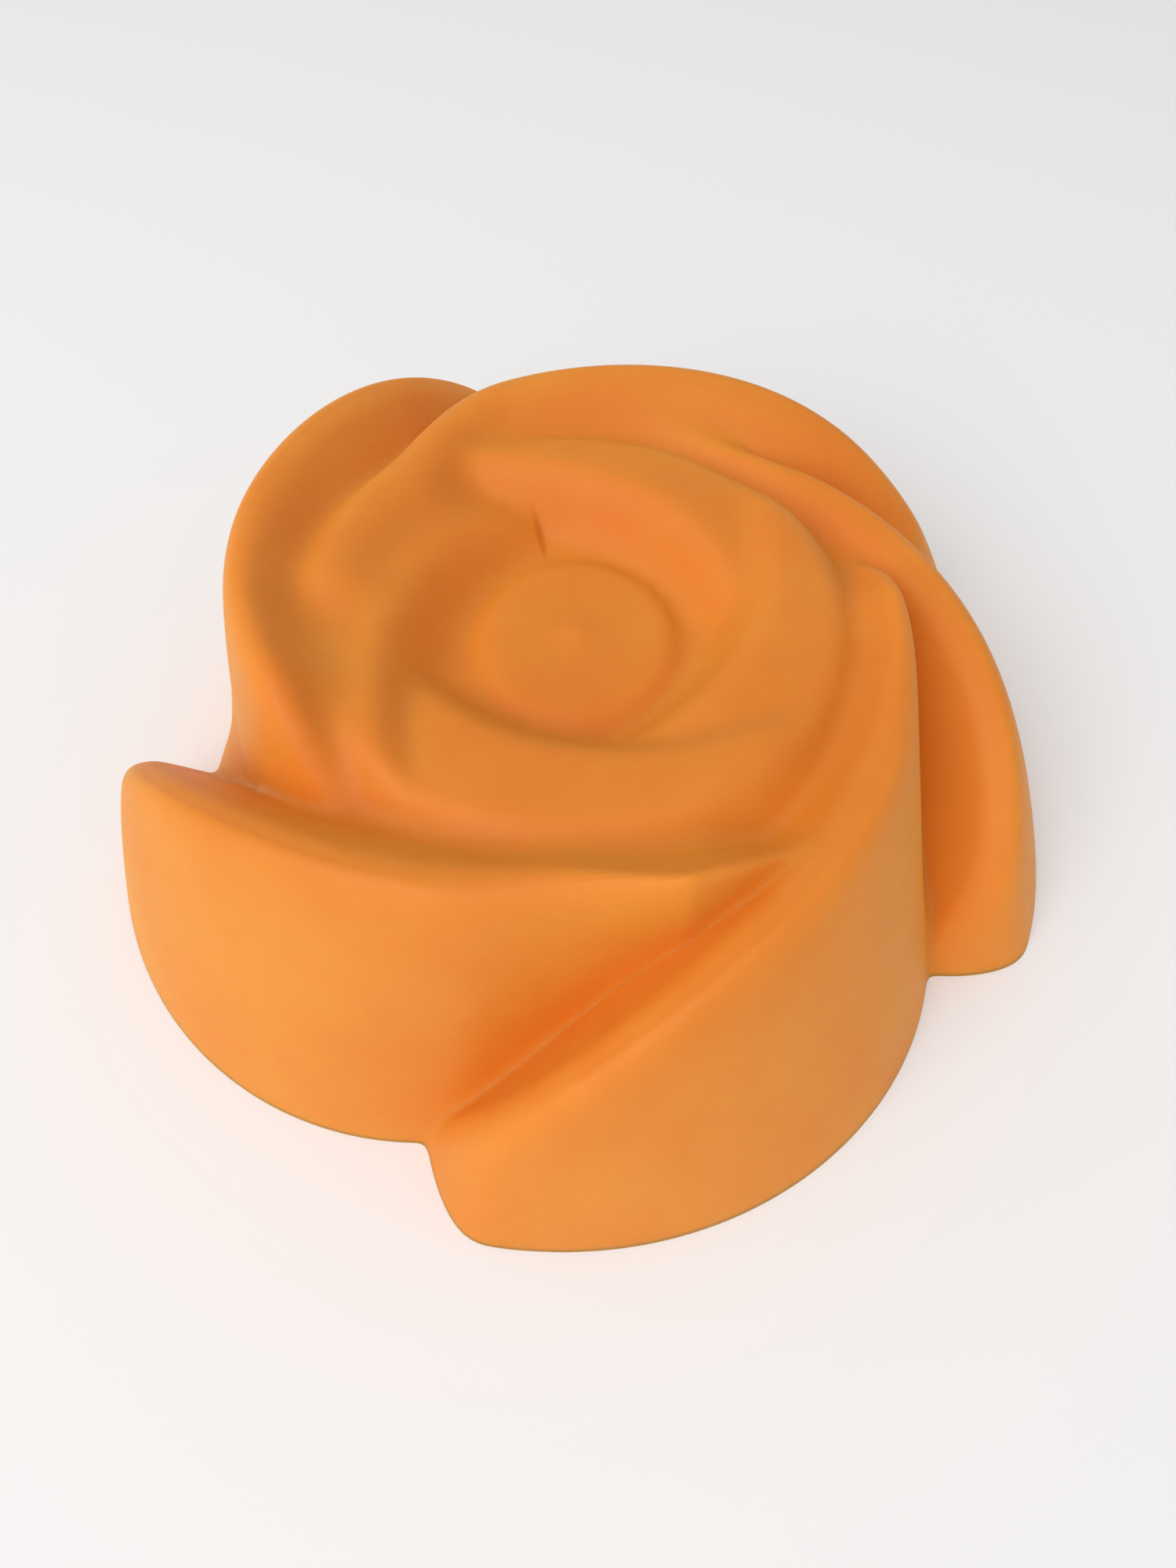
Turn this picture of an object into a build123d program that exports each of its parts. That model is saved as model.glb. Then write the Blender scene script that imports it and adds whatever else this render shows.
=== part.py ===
from build123d import *
import math
import os

import numpy as np

# Rose-shaped silicone baking cup, one moulding, resting upside down on its open rim.
# Z points up, the rim lies on Z = 0 and the flat base disc is on top. Millimetres and degrees.
# An angle is measured about Z from +X. Each petal has its own angle, 0 at the end where it starts.

SCALE = 36.0                # nominal radius of the rose: the shape below is written in this unit
WALL = 1.1                  # silicone thickness, mm
NUB_RADIUS = 1.3            # little moulding mark in the middle of the base disc, mm
NUB_HEIGHT = 0.35

STATIONS = 240              # points round each section
SECTIONS = 44               # sections from the rim to the recess round the base disc
DISC_SECTIONS = [0.245, 0.23, 0.215, 0.205, 0.195, 0.187, 0.179, 0.171, 0.16, 0.15]   # oval ones beside it
SAMPLES = 500               # steps along one radial profile
CELLS = 560                 # cells each way in the height map that the inner skin is read from
SMOOTHING = 5               # passes that even out neighbouring points

# Five outer petals, counterclockwise: start angle, height factor, reach factor of the rim, factor of the
# rim's tuck under the next petal, angle where the lip starts to dive there, and its outward swing there.
OUTER_PETALS = [
    (-105.4, 0.954, 0.979, 1.02, 105.0, 0.017),
    (-31.9, 0.872, 0.981, 1.00, 110.0, 0.022),
    (22.7, 1.030, 1.071, 0.54, 149.0, -0.109),
    (92.0, 1.100, 1.012, 1.03, 108.0, -0.017),
    (-176.3, 1.020, 0.975, 1.17, 105.0, 0.076),
]
MIDDLE_PETALS = [200.7, 277.6, -1.8, 105.0]     # start angles of the four middle petals

RIM_REACH = 0.981            # rim radius at the proud corner of an outer petal
RIM_DROP = 0.164            # how much nearer the axis the rim is where the petal ends
RIM_POWER = 2.60
RIM_TUCK = 0.158             # further drop of the hidden part under the next petal
RIM_TUCK_WIDTH = 0.304
PITCH = 72.0                # one outer petal of five

LIP_INNER = 0.499            # radius that the outer lips spiral towards
LIP_SPREAD = 0.352
LIP_ANGLE = 40.9
LIP_POWER = 1.63
LIP_HEIGHT = 0.585
LIP_RISE_START = 8.15
LIP_RISE = 25.8
LIP_FADE_WIDTH = 36.1
LIP_FADE = 0.302
TAIL_SINK = 45.0            # turn over which a petal's tail sinks out of sight under the next one
LIP_ROUND = 0.121
WALL_BULGE = 1.28
FLANK_SLOPE = 1.02
END_SLOPE = 2.67
END_OFFSET = 0.032
END_SLANT = 0.786
END_ROUND = 0.163
GROOVE_DEPTH = 0.014         # shallow flute just outside each outer lip
GROOVE_OFFSET = 0.132
GROOVE_WIDTH = 0.049

HEART_INNER = 0.286          # radius where a middle petal's lip starts, beside the base disc
HEART_SPREAD = 0.212
HEART_TURN = 140.0
HEART_HEIGHT = 0.540
HEART_START_DROP = 0.085
HEART_END_DROP = 0.097
HEART_SLOPE = 0.100
HEART_EDGE = 0.450
HEART_FALL = 4.5
HEART_FLANK = 1.40
HEART_ROUND = 0.045

DISC_HEIGHT = 0.444
DISC_RADIUS = 0.182
DISC_STRETCH = 1.10         # the disc is a little longer front to back
DISC_GROOVE = 0.028
DISC_RECESS = 0.26          # oval radius where the sections of the disc take over
TWIST_EDGE = 0.83           # radius where the stations start to turn along the leading edges
TWIST_EASE = 0.15
PETAL_BLEND = 0.047
HEART_BLEND = 0.036


def soft_min(a, b, k):
    h = np.clip(0.5 + 0.5 * (b - a) / k, 0, 1)
    return b * (1 - h) + a * h - k * h * (1 - h)


def soft_max(a, b, k):
    return -soft_min(-a, -b, k)


def ease(x):
    x = np.clip(x, 0, 1)
    return x * x * (3 - 2 * x)


def outer_petal(r, turn, petal):
    """Height of one outer petal at radius r and at an angle of turn from its start."""
    _, tall, reach, tuck, dive, swing = petal
    ahead = np.maximum(turn, 0)
    share = ahead / PITCH
    rim = reach * (RIM_REACH - RIM_DROP * np.minimum(share, 1) ** RIM_POWER)
    rim = rim - RIM_TUCK * tuck * np.tanh(np.maximum(share - 1, 0) / RIM_TUCK_WIDTH)
    lip = LIP_INNER + LIP_SPREAD / (1 + (ahead / LIP_ANGLE) ** LIP_POWER) + swing * ease((turn - 80) / 35)
    top = tall * LIP_HEIGHT * np.tanh((turn + LIP_RISE_START) / LIP_RISE)
    top = top * (1 - LIP_FADE * ease((turn - dive) / LIP_FADE_WIDTH))
    left = 1 - (rim - r) / np.maximum(rim - lip, 0.02)
    wall = top * (1 - np.sign(left) * np.abs(left) ** WALL_BULGE)
    wall = np.where(left > 1, -1.5 * (left - 1), wall)
    flute = np.exp(-(((r - lip - GROOVE_OFFSET) / GROOVE_WIDTH) ** 2))
    wall = wall - GROOVE_DEPTH * ease((turn - 25) / 30) * flute
    flank = top + FLANK_SLOPE * (r - lip)
    end = END_SLOPE * (r * np.radians(turn) - END_OFFSET - END_SLANT * (r - 0.95))
    sink = 0.6 * ease((turn - dive - LIP_FADE_WIDTH) / TAIL_SINK)
    return soft_min(soft_min(wall, flank, LIP_ROUND), end, END_ROUND) - sink


def middle_petal(r, turn):
    """Height of one middle petal: a lip that starts beside the disc and spirals outward."""
    ahead = np.maximum(turn, 0)
    lip = HEART_INNER + HEART_SPREAD * (ahead / HEART_TURN) ** 3
    top = HEART_HEIGHT - HEART_START_DROP * np.exp(-ahead / 25) - HEART_END_DROP * ease((turn - 110) / 45)
    top = top + 0.02 * np.minimum(turn, 0)
    wall = top - HEART_SLOPE * (r - lip) - HEART_FALL * np.maximum(r - HEART_EDGE, 0) ** 1.5
    flank = top + HEART_FLANK * (r - lip)
    return soft_min(wall, flank, HEART_ROUND) - 0.6 * ease((turn - 150) / TAIL_SINK)


def height(r, angle):
    """Height of the outer skin above the rim plane, in units of SCALE."""
    x = r * np.cos(np.radians(angle))
    y = r * np.sin(np.radians(angle))
    oval = np.hypot(x, y / DISC_STRETCH)
    z = DISC_HEIGHT - DISC_GROOVE * 0.5 * (1 + np.tanh((oval - DISC_RADIUS) / 0.012))
    z = z - 2 * HEART_FALL * np.maximum(r - HEART_EDGE, 0) ** 1.5
    for start in MIDDLE_PETALS:
        turn = (angle - start + 30) % 360 - 30
        z = soft_max(z, np.where(turn < 150 + TAIL_SINK, middle_petal(r, turn), -1), HEART_BLEND)
    for petal in OUTER_PETALS:
        turn = (angle - petal[0] + 30) % 360 - 30
        gone = petal[4] + LIP_FADE_WIDTH + TAIL_SINK
        z = soft_max(z, np.where(turn < gone, outer_petal(r, turn, petal), -1), PETAL_BLEND)
    return z


def swirl(r):
    """Turn of a station at radius r, so that the stations run along the petals' leading edges."""
    spread = LIP_SPREAD / np.clip(r - LIP_INNER, 0.12, LIP_SPREAD) - 1
    return LIP_ANGLE * spread ** (1 / LIP_POWER) * ease((TWIST_EDGE - r) / TWIST_EASE)


def worn_down(wall):
    """Height of the inner skin: the outer skin worn down by a ball whose radius is the wall."""
    side = np.linspace(-1.1, 1.1, CELLS)
    x, y = np.meshgrid(side, side, indexing="ij")
    top = height(np.hypot(x, y), np.degrees(np.arctan2(y, x)))
    cell = side[1] - side[0]
    reach = int(wall / cell)
    low = np.full_like(top, 9.0)
    for i in range(-reach, reach + 1):
        for j in range(-reach, reach + 1):
            rest = wall ** 2 - (i * i + j * j) * cell ** 2
            if rest >= 0:
                low = np.minimum(low, np.roll(top, (i, j), axis=(0, 1)) - math.sqrt(rest))

    def read(r, angle):
        u = (r * np.cos(np.radians(angle)) - side[0]) / cell
        v = (r * np.sin(np.radians(angle)) - side[0]) / cell
        i = np.clip(u.astype(int), 0, CELLS - 2)
        j = np.clip(v.astype(int), 0, CELLS - 2)
        a = u - i
        b = v - j
        near = low[i, j] * (1 - a) + low[i + 1, j] * a
        far = low[i, j + 1] * (1 - a) + low[i + 1, j + 1] * a
        return near * (1 - b) + far * b

    return read


def skin_points(height_at):
    """Points of one skin in mm, as rows of one section each, from the rim to the disc."""
    grid = np.zeros((SECTIONS + len(DISC_SECTIONS), STATIONS, 3))
    for i in range(STATIONS):
        start = 360.0 * i / STATIONS + swirl(0)
        stretch = 1 / np.hypot(math.cos(math.radians(start)), math.sin(math.radians(start)) / DISC_STRETCH)
        r = np.linspace(1.08, DISC_RECESS * stretch, SAMPLES)
        z = height_at(r, 360.0 * i / STATIONS + swirl(r))
        first = int(np.nonzero(z <= 0)[0][-1]) + 1
        part = z[first] / (z[first] - z[first - 1])
        r = np.concatenate([[r[first] + (r[first - 1] - r[first]) * part], r[first:]])
        turn = np.radians(360.0 * i / STATIONS + swirl(r))
        points = np.stack([r * np.cos(turn), r * np.sin(turn), np.concatenate([[0.0], z[first:]])], axis=1)
        steps = np.linalg.norm(np.diff(points, axis=0), axis=1)
        along = np.concatenate([[0], np.cumsum(steps)])
        at = np.linspace(0, along[-1], SECTIONS)
        for axis in range(3):
            grid[:SECTIONS, i, axis] = np.interp(at, along, points[:, axis])
        r = np.array(DISC_SECTIONS) * stretch
        turn = np.radians(start)
        grid[SECTIONS:, i] = np.stack([r * np.cos(turn), r * np.sin(turn), height_at(r, start)], axis=1)
    grid[-1, :, 2] = grid[-1, :, 2].mean()
    for _ in range(SMOOTHING):
        grid = (np.roll(grid, 1, axis=1) + 2 * grid + np.roll(grid, -1, axis=1)) / 4
        grid[1:SECTIONS] = (grid[:SECTIONS - 1] + 2 * grid[1:SECTIONS] + grid[2:SECTIONS + 1]) / 4
    return grid * SCALE


def body(grid):
    """Solid under one skin, lofted through closed sections that share their parameters."""
    steps = [i / STATIONS for i in range(STATIONS + 1)]
    wires = []
    for row in grid:
        points = [tuple(float(c) for c in point) for point in row]
        wires.append(Wire([Edge.make_spline(points, periodic=True, parameters=steps)]))
    return Solid.make_loft(wires)


def nub():
    sphere_radius = (NUB_RADIUS ** 2 + NUB_HEIGHT ** 2) / (2 * NUB_HEIGHT)
    top = DISC_HEIGHT * SCALE
    ball = Pos(0, 0, top + NUB_HEIGHT - sphere_radius) * Sphere(sphere_radius)
    keep = Pos(0, 0, top + NUB_HEIGHT / 2 - 0.1) * Cylinder(NUB_RADIUS * 2, NUB_HEIGHT + 0.2)
    return ball & keep


def rose_cup():
    outer = body(skin_points(height))
    inner = body(skin_points(worn_down(WALL / SCALE)))
    return outer - inner + nub()


os.makedirs("parts", exist_ok=True)
cup = rose_cup()
middle = cup.bounding_box().center()
cup = Pos(-middle.X, -middle.Y, 0) * cup
export_step(cup, "parts/rose_cup.step")
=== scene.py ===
import math

import bpy
import numpy as np
from mathutils import Matrix, Vector

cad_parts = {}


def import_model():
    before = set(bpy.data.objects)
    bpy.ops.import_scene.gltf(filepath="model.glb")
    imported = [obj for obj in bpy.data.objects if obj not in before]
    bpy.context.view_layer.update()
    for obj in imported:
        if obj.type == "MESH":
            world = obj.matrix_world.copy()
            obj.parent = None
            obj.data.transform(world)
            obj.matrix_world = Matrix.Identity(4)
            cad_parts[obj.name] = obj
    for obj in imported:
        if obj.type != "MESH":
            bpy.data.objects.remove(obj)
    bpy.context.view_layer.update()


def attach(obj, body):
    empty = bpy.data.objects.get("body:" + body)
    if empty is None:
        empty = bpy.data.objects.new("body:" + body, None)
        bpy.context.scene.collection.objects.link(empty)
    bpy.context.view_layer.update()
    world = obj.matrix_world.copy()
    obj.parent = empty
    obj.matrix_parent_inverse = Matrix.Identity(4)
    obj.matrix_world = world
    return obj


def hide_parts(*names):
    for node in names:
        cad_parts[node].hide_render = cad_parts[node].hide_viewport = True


# Rose-shaped silicone baking cup, upside down on its open rim. The scene is in metres, in the frame of
# the CAD. The skin is the CAD's own form, sampled more finely. Angles are in degrees about Z from +X, and
# each petal also has its own angle, its turn, which is 0 at the end where the petal starts.

MM = 0.001                  # a millimetre in metres
SCALE = 36.0                # nominal radius of the rose, mm: the form below is written in this unit
WALL = 1.1                  # thickness of the silicone, mm

# ---- Form of the petals and the disc

# Five outer petals, counterclockwise: start angle, height factor, reach factor of the rim, factor of the
# rim's tuck under the next petal, turn where the lip starts to dive there, and its outward swing there.
OUTER_PETALS = [
    (-105.4, 0.954, 0.979, 1.02, 105.0, 0.017),
    (-31.9, 0.872, 0.981, 1.00, 110.0, 0.022),
    (22.7, 1.030, 1.071, 0.54, 149.0, -0.109),
    (92.0, 1.100, 1.012, 1.03, 108.0, -0.017),
    (-176.3, 1.020, 0.975, 1.17, 105.0, 0.076),
]
MIDDLE_PETALS = [200.7, 277.6, -1.8, 105.0]     # start angles of the four middle petals

LEAD = 30                   # turn before its start from which a petal is worked out
BELOW = -1                  # height given to a petal where it has ended, well under the rim
TAIL_SINK = 45.0            # turn over which a petal's tail sinks out of sight under the next one
TAIL_DEPTH = 0.6            # how far it sinks
PITCH = 72.0                # one outer petal of five

RIM_REACH = 0.981           # rim radius at the proud corner of an outer petal
RIM_DROP = 0.164            # how much nearer the axis the rim is where the petal ends
RIM_POWER = 2.60
RIM_TUCK = 0.158            # further drop of the hidden part under the next petal
RIM_TUCK_WIDTH = 0.304      # in petal pitches
RIM_OUTSIDE = 1.5           # fall beyond the rim

LIP_INNER = 0.499           # radius that the outer lips spiral towards
LIP_SPREAD = 0.352          # how much further out a lip starts
LIP_ANGLE = 40.9            # turn by which half of that is gone
LIP_POWER = 1.63
LIP_SWING_START = 80        # turn where the outward swing begins
LIP_SWING_WIDTH = 35
LIP_HEIGHT = 0.585
LIP_RISE_START = 8.15       # how far before its start a lip begins to rise
LIP_RISE = 25.8
LIP_FADE = 0.302            # share of its height that a lip loses in its dive
LIP_FADE_WIDTH = 36.1
LIP_ROUND = 0.121

WALL_BULGE = 1.28           # power that domes the wall between rim and lip
WALL_LEAST_RUN = 0.02       # least distance from rim to lip
FLANK_SLOPE = 1.02          # inner side of an outer lip
END_SLOPE = 2.67            # leading edge of an outer petal
END_OFFSET = 0.032
END_SLANT = 0.786
END_RADIUS = 0.95           # radius about which the edge is slanted
END_ROUND = 0.163
GROOVE_DEPTH = 0.014        # shallow flute just outside each outer lip
GROOVE_OFFSET = 0.132
GROOVE_WIDTH = 0.049
GROOVE_START = 25           # turn where the flute begins
GROOVE_EASE = 30

HEART_INNER = 0.286         # radius where a middle petal's lip starts, beside the base disc
HEART_SPREAD = 0.212        # how much further out it is at a turn of HEART_TURN
HEART_TURN = 140.0
HEART_POWER = 3
HEART_HEIGHT = 0.540
HEART_START_DROP = 0.085    # how much lower the lip starts, and the turn over which it recovers
HEART_START_TURN = 25
HEART_LEAD_SLOPE = 0.02     # fall per degree before the petal's start
HEART_END_DROP = 0.097      # how much lower the lip ends, and the turns over which it falls
HEART_END_START = 110
HEART_END_WIDTH = 45
HEART_TAIL_START = 150      # turn where the tail starts to sink
HEART_SLOPE = 0.100         # gentle fall outside the lip
HEART_EDGE = 0.450          # radius where the steeper fall begins
HEART_FALL = 4.5
HEART_FALL_POWER = 1.5
HEART_FLANK = 1.40          # inner side of a middle lip
HEART_ROUND = 0.045

DISC_HEIGHT = 0.444
DISC_RADIUS = 0.182
DISC_STRETCH = 1.10         # the disc is a little longer front to back
DISC_GROOVE = 0.028         # step down round the disc
DISC_EDGE = 0.012           # width of that step
PETAL_BLEND = 0.047         # rounding of the creases at the outer petals
HEART_BLEND = 0.036         # rounding of the creases at the middle petals

TWIST_EDGE = 0.83           # radius where the stations start to turn along the leading edges
TWIST_EASE = 0.15
TWIST_NEAREST = 0.12        # least distance outside LIP_INNER that is used for the turn

NUB_RADIUS = 1.3            # little moulding mark in the middle of the base disc, mm
NUB_HEIGHT = 0.35

# ---- Fineness of the mesh

OUTERMOST = 1.08            # radii between which the form is read
INNERMOST = 0.002
SAMPLES = 700               # readings along one station
STATIONS = 720              # points around the outer skin
SECTIONS = 170              # rows of points from its rim to its centre
SMOOTHING = 3               # passes that even out neighbouring points, so that the creases look moulded
INNER_STATIONS = 360        # the same for the inner skin
INNER_SECTIONS = 90
INNER_SMOOTHING = 2
MAP_REACH = 1.1             # half the width of the height map that the inner skin is read from
CELLS = 560                 # cells each way in that map

# ---- Looks of the silicone; noise scales are per metre

DEEP = (0.77, 0.240, 0.021, 1)
PALE = (0.80, 0.285, 0.030, 1)
DUST = (0.22, 0.080, 0.025, 1)

NOISE_ROUGHNESS = 0.6
CLOUD_SCALE = 70            # faint mottling between DEEP and PALE
CLOUD_RANGE = (0.35, 0.65)
SPECK_SCALE = 120           # dust: a speck wherever the centre of a cell comes close to the skin
SPECK_RANGE = (0.014, 0.024)
GRAIN_SCALE = 3500          # fine grain in the roughness
GRAIN_RANGE = (0.3, 0.7)
ROUGHNESS = (0.50, 0.62)
BUMP_SCALE = 2600
BUMP_STRENGTH = 0.25
BUMP_DEPTH = 0.00003
REFRACTION = 1.41
GLOSS = 0.40
SCATTER_RADIUS = (0.7, 0.50, 0.30)
SCATTER_SCALE = 0.0016      # kept short: a longer one lets light through the thin wall and dulls the colour

# ---- Camera and studio

CAMERA_SENSOR = 36.0
CAMERA_LENS = 23.74
CAMERA_CLIP = 0.001
CAMERA_PITCH = 0.9685       # radians below the horizon
CAMERA_ROLL = -0.0167
CAMERA_PLACE = (0.0182, -1.2866, 1.8364)        # in units of SCALE, from the axis of the rose

WHITE = (1, 1, 1, 1)
WORLD_STRENGTH = 0.56
KEY_PLACE = (-0.34, -0.40, 0.55)
KEY_TARGET = (0, 0, 0.01)
KEY_SIZE = 0.8
KEY_POWER = 3.9
FLOOR_SQUARES = 12          # squares each way
FLOOR_SQUARE = 0.5          # side of one
FLOOR_CORNER = -3
FLOOR_LEVEL = -0.00002      # just under the rim, so that the two surfaces don't coincide
FLOOR_COLOUR = (0.93, 0.93, 0.93, 1)
FLOOR_ROUGHNESS = 0.9


def soft_min(a, b, k):
    h = np.clip(0.5 + 0.5 * (b - a) / k, 0, 1)
    return b * (1 - h) + a * h - k * h * (1 - h)


def soft_max(a, b, k):
    return -soft_min(-a, -b, k)


def ease(x):
    x = np.clip(x, 0, 1)
    return x * x * (3 - 2 * x)


def outer_petal(r, turn, petal):
    """Height of one outer petal at radius r and at an angle of turn from its start."""
    _, tall, reach, tuck, dive, swing = petal
    ahead = np.maximum(turn, 0)
    share = ahead / PITCH
    rim = reach * (RIM_REACH - RIM_DROP * np.minimum(share, 1) ** RIM_POWER)
    rim = rim - RIM_TUCK * tuck * np.tanh(np.maximum(share - 1, 0) / RIM_TUCK_WIDTH)
    lip = LIP_INNER + LIP_SPREAD / (1 + (ahead / LIP_ANGLE) ** LIP_POWER)
    lip = lip + swing * ease((turn - LIP_SWING_START) / LIP_SWING_WIDTH)
    top = tall * LIP_HEIGHT * np.tanh((turn + LIP_RISE_START) / LIP_RISE)
    top = top * (1 - LIP_FADE * ease((turn - dive) / LIP_FADE_WIDTH))
    left = 1 - (rim - r) / np.maximum(rim - lip, WALL_LEAST_RUN)
    wall = top * (1 - np.sign(left) * np.abs(left) ** WALL_BULGE)
    wall = np.where(left > 1, -RIM_OUTSIDE * (left - 1), wall)
    flute = np.exp(-(((r - lip - GROOVE_OFFSET) / GROOVE_WIDTH) ** 2))
    wall = wall - GROOVE_DEPTH * ease((turn - GROOVE_START) / GROOVE_EASE) * flute
    flank = top + FLANK_SLOPE * (r - lip)
    end = END_SLOPE * (r * np.radians(turn) - END_OFFSET - END_SLANT * (r - END_RADIUS))
    sink = TAIL_DEPTH * ease((turn - dive - LIP_FADE_WIDTH) / TAIL_SINK)
    return soft_min(soft_min(wall, flank, LIP_ROUND), end, END_ROUND) - sink


def middle_petal(r, turn):
    """Height of one middle petal: a lip that starts beside the disc and spirals outward."""
    ahead = np.maximum(turn, 0)
    lip = HEART_INNER + HEART_SPREAD * (ahead / HEART_TURN) ** HEART_POWER
    top = HEART_HEIGHT - HEART_START_DROP * np.exp(-ahead / HEART_START_TURN)
    top = top - HEART_END_DROP * ease((turn - HEART_END_START) / HEART_END_WIDTH)
    top = top + HEART_LEAD_SLOPE * np.minimum(turn, 0)
    wall = top - HEART_SLOPE * (r - lip) - HEART_FALL * np.maximum(r - HEART_EDGE, 0) ** HEART_FALL_POWER
    flank = top + HEART_FLANK * (r - lip)
    sink = TAIL_DEPTH * ease((turn - HEART_TAIL_START) / TAIL_SINK)
    return soft_min(wall, flank, HEART_ROUND) - sink


def turn_from(start, angle):
    """Angle counted from a petal's start, from -LEAD up."""
    return (angle - start + LEAD) % 360 - LEAD


def height(r, angle):
    """Height of the outer skin above the rim plane, in units of SCALE."""
    x = r * np.cos(np.radians(angle))
    y = r * np.sin(np.radians(angle))
    oval = np.hypot(x, y / DISC_STRETCH)
    z = DISC_HEIGHT - DISC_GROOVE * 0.5 * (1 + np.tanh((oval - DISC_RADIUS) / DISC_EDGE))
    z = z - 2 * HEART_FALL * np.maximum(r - HEART_EDGE, 0) ** HEART_FALL_POWER
    for start in MIDDLE_PETALS:
        turn = turn_from(start, angle)
        gone = HEART_TAIL_START + TAIL_SINK
        z = soft_max(z, np.where(turn < gone, middle_petal(r, turn), BELOW), HEART_BLEND)
    for petal in OUTER_PETALS:
        start, dive = petal[0], petal[4]
        turn = turn_from(start, angle)
        gone = dive + LIP_FADE_WIDTH + TAIL_SINK
        z = soft_max(z, np.where(turn < gone, outer_petal(r, turn, petal), BELOW), PETAL_BLEND)
    return z


def swirl(r):
    """Turn of a station at radius r, so that the stations run along the petals' leading edges."""
    spread = LIP_SPREAD / np.clip(r - LIP_INNER, TWIST_NEAREST, LIP_SPREAD) - 1
    return LIP_ANGLE * spread ** (1 / LIP_POWER) * ease((TWIST_EDGE - r) / TWIST_EASE)


def nub_height(r):
    """Rise of the moulding mark above the disc, in units of SCALE."""
    sphere = (NUB_RADIUS ** 2 + NUB_HEIGHT ** 2) / (2 * NUB_HEIGHT)
    rise = np.sqrt(np.maximum(sphere ** 2 - (r * SCALE) ** 2, 0)) - sphere + NUB_HEIGHT
    return np.maximum(rise, 0) / SCALE


def outer_height(r, angle):
    return height(r, angle) + nub_height(r)


def skin_points(stations, sections, height_at, smoothing):
    """Points of one skin, a row for each section, from the rim to the centre of the disc."""
    r = np.linspace(OUTERMOST, INNERMOST, SAMPLES)
    grid = np.zeros((sections, stations, 3))
    for i in range(stations):
        z = height_at(r, 360.0 * i / stations + swirl(r))
        first = int(np.nonzero(z <= 0)[0][-1]) + 1
        part = z[first] / (z[first] - z[first - 1])
        rim = r[first] + (r[first - 1] - r[first]) * part
        reach = np.concatenate([[rim], r[first:]])
        level = np.concatenate([[0.0], z[first:]])
        angle = np.radians(360.0 * i / stations + swirl(reach))
        points = np.stack([reach * np.cos(angle), reach * np.sin(angle), level], axis=1)
        steps = np.linalg.norm(np.diff(points, axis=0), axis=1)
        along = np.concatenate([[0], np.cumsum(steps)])
        at = np.linspace(0, along[-1], sections)
        for axis in range(3):
            grid[:, i, axis] = np.interp(at, along, points[:, axis])
    for _ in range(smoothing):
        grid = (np.roll(grid, 1, axis=1) + 2 * grid + np.roll(grid, -1, axis=1)) / 4
        grid[1:-1] = (grid[:-2] + 2 * grid[1:-1] + grid[2:]) / 4
    return grid


def inner_height():
    """Height of the inner skin: the outer one worn down by a ball with the wall for its radius."""
    side = np.linspace(-MAP_REACH, MAP_REACH, CELLS)
    x, y = np.meshgrid(side, side, indexing="ij")
    top = height(np.hypot(x, y), np.degrees(np.arctan2(y, x)))
    cell = side[1] - side[0]
    wall = WALL / SCALE
    reach = int(wall / cell)
    low = np.full_like(top, np.inf)
    for i in range(-reach, reach + 1):
        for j in range(-reach, reach + 1):
            rest = wall ** 2 - (i * i + j * j) * cell ** 2
            if rest >= 0:
                low = np.minimum(low, np.roll(top, (i, j), axis=(0, 1)) - math.sqrt(rest))

    def read(r, angle):
        u = (r * np.cos(np.radians(angle)) - side[0]) / cell
        v = (r * np.sin(np.radians(angle)) - side[0]) / cell
        i = np.clip(u.astype(int), 0, CELLS - 2)
        j = np.clip(v.astype(int), 0, CELLS - 2)
        a = u - i
        b = v - j
        near = low[i, j] * (1 - a) + low[i + 1, j] * a
        far = low[i, j + 1] * (1 - a) + low[i + 1, j + 1] * a
        return near * (1 - b) + far * b

    return read


def grid_faces(sections, stations, first, flip):
    """Squares between the rows of a skin whose points are numbered from first."""
    faces = []
    for k in range(sections - 1):
        row = first + k * stations
        for i in range(stations):
            j = (i + 1) % stations
            quad = (row + i, row + j, row + stations + j, row + stations + i)
            faces.append(quad[::-1] if flip else quad)
    return faces


def cup_mesh():
    """Closed shell: outer skin, inner skin and the flat rim between them, centred as the CAD is."""
    outer = skin_points(STATIONS, SECTIONS, outer_height, SMOOTHING)
    inner = skin_points(INNER_STATIONS, INNER_SECTIONS, inner_height(), INNER_SMOOTHING)
    centres = [[0, 0, outer[-1, :, 2].mean()], [0, 0, inner[-1, :, 2].mean()]]
    verts = np.concatenate([outer.reshape(-1, 3), inner.reshape(-1, 3), centres])
    start = SECTIONS * STATIONS
    faces = grid_faces(SECTIONS, STATIONS, 0, False)
    faces += grid_faces(INNER_SECTIONS, INNER_STATIONS, start, True)
    step = STATIONS // INNER_STATIONS
    for i in range(INNER_STATIONS):
        j = (i + 1) % INNER_STATIONS
        ring = [(i * step + s) % STATIONS for s in range(step + 1)]
        faces.append((start + i, start + j, *ring[::-1]))
    tip = start + INNER_SECTIONS * INNER_STATIONS
    last = start - STATIONS
    for i in range(STATIONS):
        faces.append((last + i, last + (i + 1) % STATIONS, tip))
    last = tip - INNER_STATIONS
    for i in range(INNER_STATIONS):
        faces.append((last + (i + 1) % INNER_STATIONS, last + i, tip + 1))
    verts = verts * SCALE * MM
    low = verts.min(axis=0)
    high = verts.max(axis=0)
    shift = np.array([(low[0] + high[0]) / 2, (low[1] + high[1]) / 2, 0.0])
    mesh = bpy.data.meshes.new("cup")
    mesh.from_pydata([tuple(v) for v in verts - shift], [], faces)
    mesh.polygons.foreach_set("use_smooth", [True] * len(mesh.polygons))
    mesh.update()
    return mesh, shift


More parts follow.
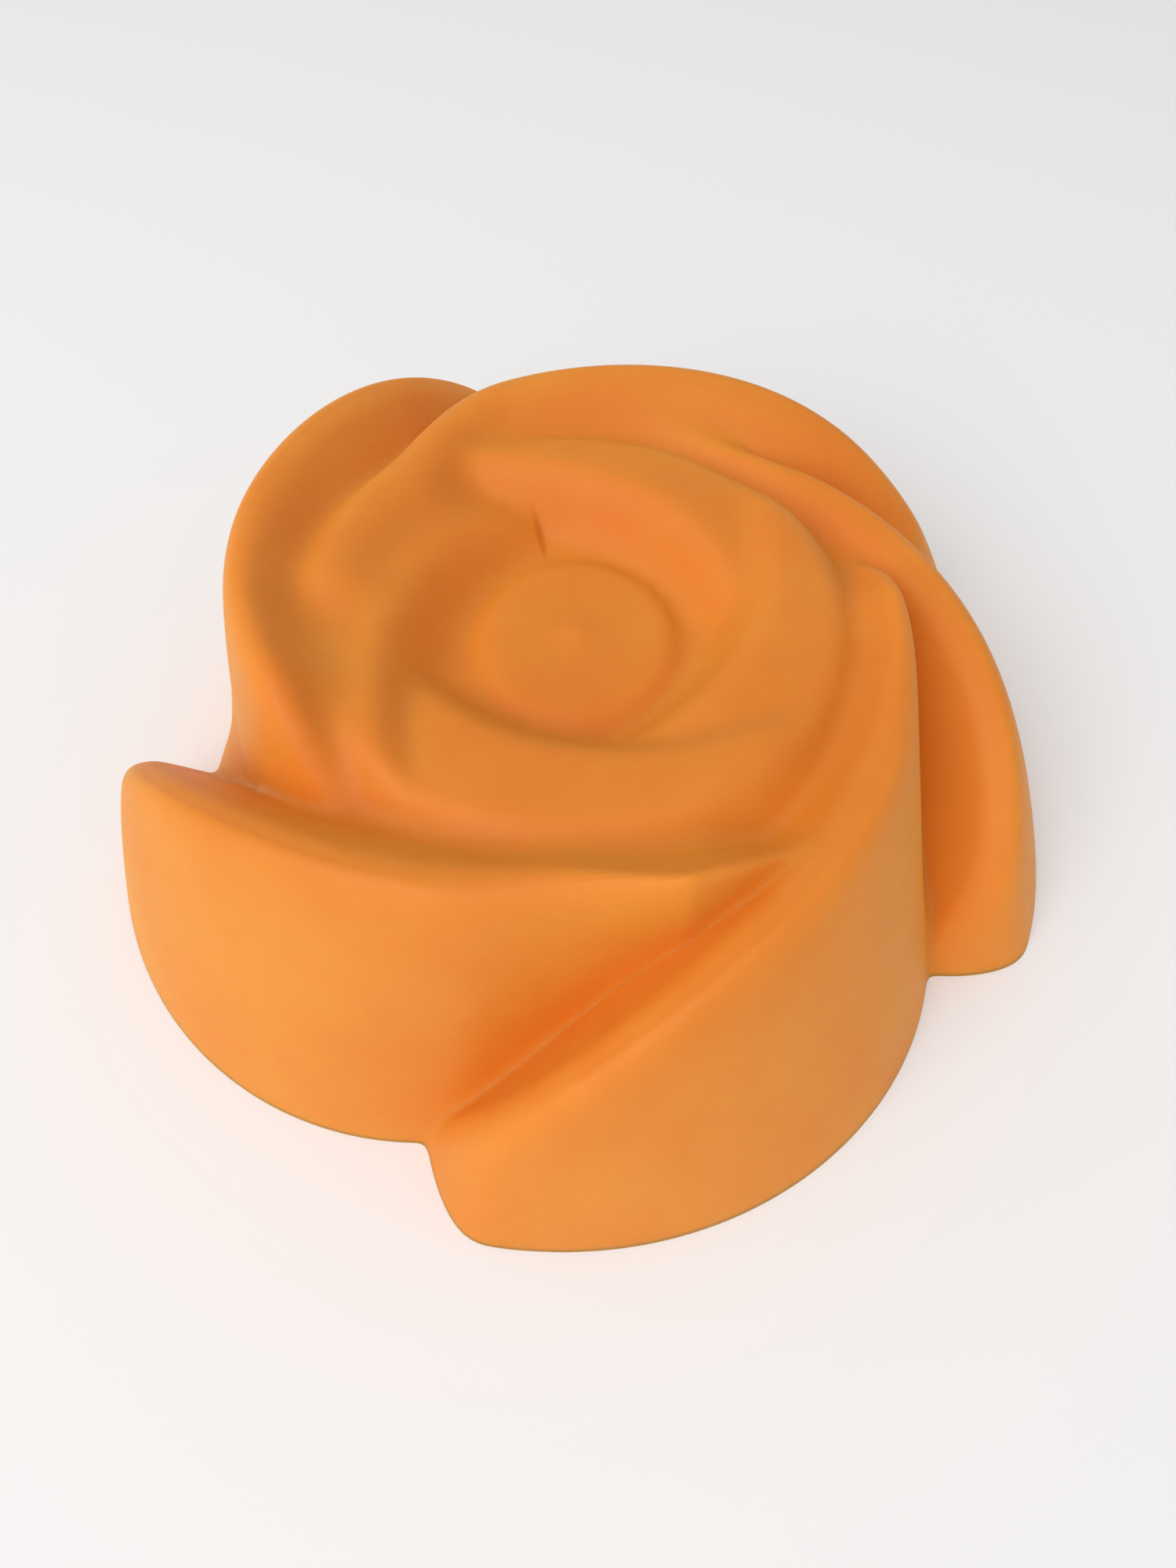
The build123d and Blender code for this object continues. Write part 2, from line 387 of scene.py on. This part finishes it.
def silicone():
    """Frosted translucent orange silicone: fine grain, soft mottling, a few dust specks."""
    mat = bpy.data.materials.new("silicone")
    mat.use_nodes = True
    nodes = mat.node_tree.nodes
    links = mat.node_tree.links
    shader = nodes["Principled BSDF"]
    place = nodes.new("ShaderNodeTexCoord")

    def noise(scale, detail):
        node = nodes.new("ShaderNodeTexNoise")
        node.inputs["Scale"].default_value = scale
        node.inputs["Detail"].default_value = detail
        node.inputs["Roughness"].default_value = NOISE_ROUGHNESS
        links.new(place.outputs["Object"], node.inputs["Vector"])
        return node.outputs["Fac"]

    def span(value, source, target):
        """The value stretched from the source range to the target range."""
        node = nodes.new("ShaderNodeMapRange")
        node.inputs["From Min"].default_value = source[0]
        node.inputs["From Max"].default_value = source[1]
        node.inputs["To Min"].default_value = target[0]
        node.inputs["To Max"].default_value = target[1]
        links.new(value, node.inputs["Value"])
        return node.outputs["Result"]

    def blend(amount, first, second):
        """Mix of two colours; the first may also be the output of another node."""
        node = nodes.new("ShaderNodeMix")
        node.data_type = "RGBA"
        links.new(amount, node.inputs["Factor"])
        if isinstance(first, tuple):
            node.inputs["A"].default_value = first
        else:
            links.new(first, node.inputs["A"])
        node.inputs["B"].default_value = second
        return node.outputs["Result"]

    clouds = span(noise(CLOUD_SCALE, detail=4), CLOUD_RANGE, (0, 1))
    cells = nodes.new("ShaderNodeTexVoronoi")
    cells.inputs["Scale"].default_value = SPECK_SCALE
    links.new(place.outputs["Object"], cells.inputs["Vector"])
    specks = span(cells.outputs["Distance"], SPECK_RANGE, (1, 0))
    colour = blend(specks, blend(clouds, DEEP, PALE), DUST)
    links.new(colour, shader.inputs["Base Color"])
    grain = span(noise(GRAIN_SCALE, detail=3), GRAIN_RANGE, ROUGHNESS)
    links.new(grain, shader.inputs["Roughness"])
    bump = nodes.new("ShaderNodeBump")
    bump.inputs["Strength"].default_value = BUMP_STRENGTH
    bump.inputs["Distance"].default_value = BUMP_DEPTH
    links.new(noise(BUMP_SCALE, detail=4), bump.inputs["Height"])
    links.new(bump.outputs["Normal"], shader.inputs["Normal"])
    shader.inputs["IOR"].default_value = REFRACTION
    shader.inputs["Specular IOR Level"].default_value = GLOSS
    shader.inputs["Subsurface Weight"].default_value = 1.0
    shader.inputs["Subsurface Radius"].default_value = SCATTER_RADIUS
    shader.inputs["Subsurface Scale"].default_value = SCATTER_SCALE
    return mat


def add_camera(shift):
    """Camera in front of the cup and above it; shift is how far the cup was moved to centre it."""
    data = bpy.data.cameras.new("camera")
    data.sensor_width = CAMERA_SENSOR
    data.lens = CAMERA_LENS
    data.clip_start = CAMERA_CLIP
    cam = bpy.data.objects.new("camera", data)
    bpy.context.scene.collection.objects.link(cam)
    ahead = Vector((0, math.cos(CAMERA_PITCH), -math.sin(CAMERA_PITCH)))
    right = Vector((1, 0, 0))
    up = right.cross(ahead)
    side = math.cos(CAMERA_ROLL) * right + math.sin(CAMERA_ROLL) * up
    top = -math.sin(CAMERA_ROLL) * right + math.cos(CAMERA_ROLL) * up
    turn = Matrix((side, top, -ahead)).transposed().to_4x4()
    place = Vector(CAMERA_PLACE) * SCALE * MM - Vector(shift)
    cam.matrix_world = Matrix.Translation(place) @ turn
    bpy.context.scene.camera = cam


def add_key_light():
    data = bpy.data.lights.new("key", "AREA")
    data.shape = "DISK"
    data.size = KEY_SIZE
    data.energy = KEY_POWER
    light = bpy.data.objects.new("key", data)
    bpy.context.scene.collection.objects.link(light)
    light.location = KEY_PLACE
    aim = Vector(KEY_TARGET) - Vector(KEY_PLACE)
    light.rotation_euler = aim.to_track_quat("-Z", "Y").to_euler()


def add_floor():
    mesh = bpy.data.meshes.new("floor")
    n = FLOOR_SQUARES
    ticks = [i * FLOOR_SQUARE + FLOOR_CORNER for i in range(n + 1)]
    verts = [(x, y, FLOOR_LEVEL) for y in ticks for x in ticks]
    corners = [y * (n + 1) + x for y in range(n) for x in range(n)]
    faces = [(c, c + 1, c + n + 2, c + n + 1) for c in corners]
    mesh.from_pydata(verts, [], faces)
    floor = bpy.data.objects.new("floor", mesh)
    bpy.context.scene.collection.objects.link(floor)
    mat = bpy.data.materials.new("floor")
    mat.use_nodes = True
    shader = mat.node_tree.nodes["Principled BSDF"]
    shader.inputs["Base Color"].default_value = FLOOR_COLOUR
    shader.inputs["Roughness"].default_value = FLOOR_ROUGHNESS
    mesh.materials.append(mat)


def add_studio():
    """Pale floor, white surround and one soft key light from the camera's left."""
    bpy.context.scene.view_settings.view_transform = "Standard"
    world = bpy.data.worlds.new("studio")
    bpy.context.scene.world = world
    world.use_nodes = True
    background = world.node_tree.nodes["Background"]
    background.inputs["Color"].default_value = WHITE
    background.inputs["Strength"].default_value = WORLD_STRENGTH
    add_key_light()
    add_floor()


def main():
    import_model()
    mesh, shift = cup_mesh()
    cup = bpy.data.objects.new("cup", mesh)
    bpy.context.scene.collection.objects.link(cup)
    mesh.materials.append(silicone())
    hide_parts("rose_cup")
    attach(cup, "root")
    add_camera(shift)
    add_studio()


main()
